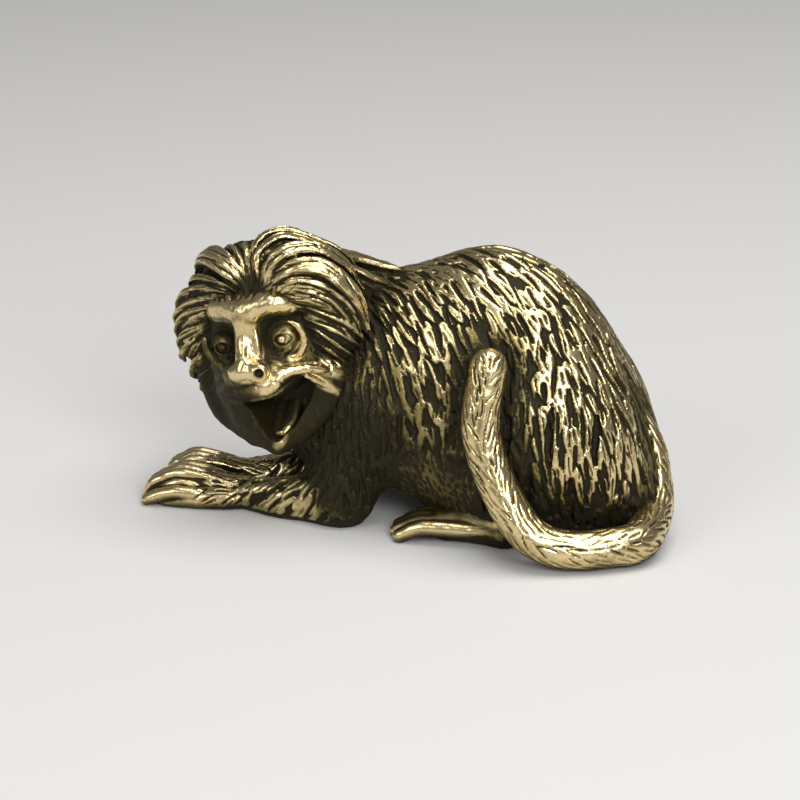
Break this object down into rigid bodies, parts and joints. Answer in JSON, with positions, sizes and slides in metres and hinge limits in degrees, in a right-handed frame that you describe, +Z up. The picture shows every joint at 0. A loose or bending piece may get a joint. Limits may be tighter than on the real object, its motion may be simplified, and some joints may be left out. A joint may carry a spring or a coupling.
{
  "type": "lion tamarin figurine",
  "caption": "Small antiqued brass ornament of a crouching lion tamarin with a swept mane, an open mouth and a long tail curled up its flank.",
  "frame": {"origin": "middle of the bounding box's underside, on the plane that the figurine rests on", "axes": "+Z up; the animal's breast and hands point along -X, and its left flank, with the tail, faces -Y"},
  "size_m": [0.0464, 0.0228, 0.0252],
  "materials": {
    "antique_brass": "cast brass with polished high points and dark olive patina left in the grooves",
    "blackened_brass": "cast brass left dark with patina inside the mouth"
  },
  "bodies": {
    "root": {"torso": "antique_brass", "left_haunch": "antique_brass", "right_haunch": "antique_brass", "left_foot": "antique_brass", "right_foot": "antique_brass", "left_upper_arm": "antique_brass", "right_upper_arm": "antique_brass", "left_forearm": "antique_brass", "right_forearm": "antique_brass", "left_hand": "antique_brass", "right_hand": "antique_brass", "tail": "antique_brass", "head": "antique_brass", "left_eye": "antique_brass", "right_eye": "antique_brass", "lower_jaw": "antique_brass", "tongue": "blackened_brass", "mane_left": "antique_brass", "mane_right": "antique_brass", "mane_nape": "antique_brass"}
  },
  "joints": []
}
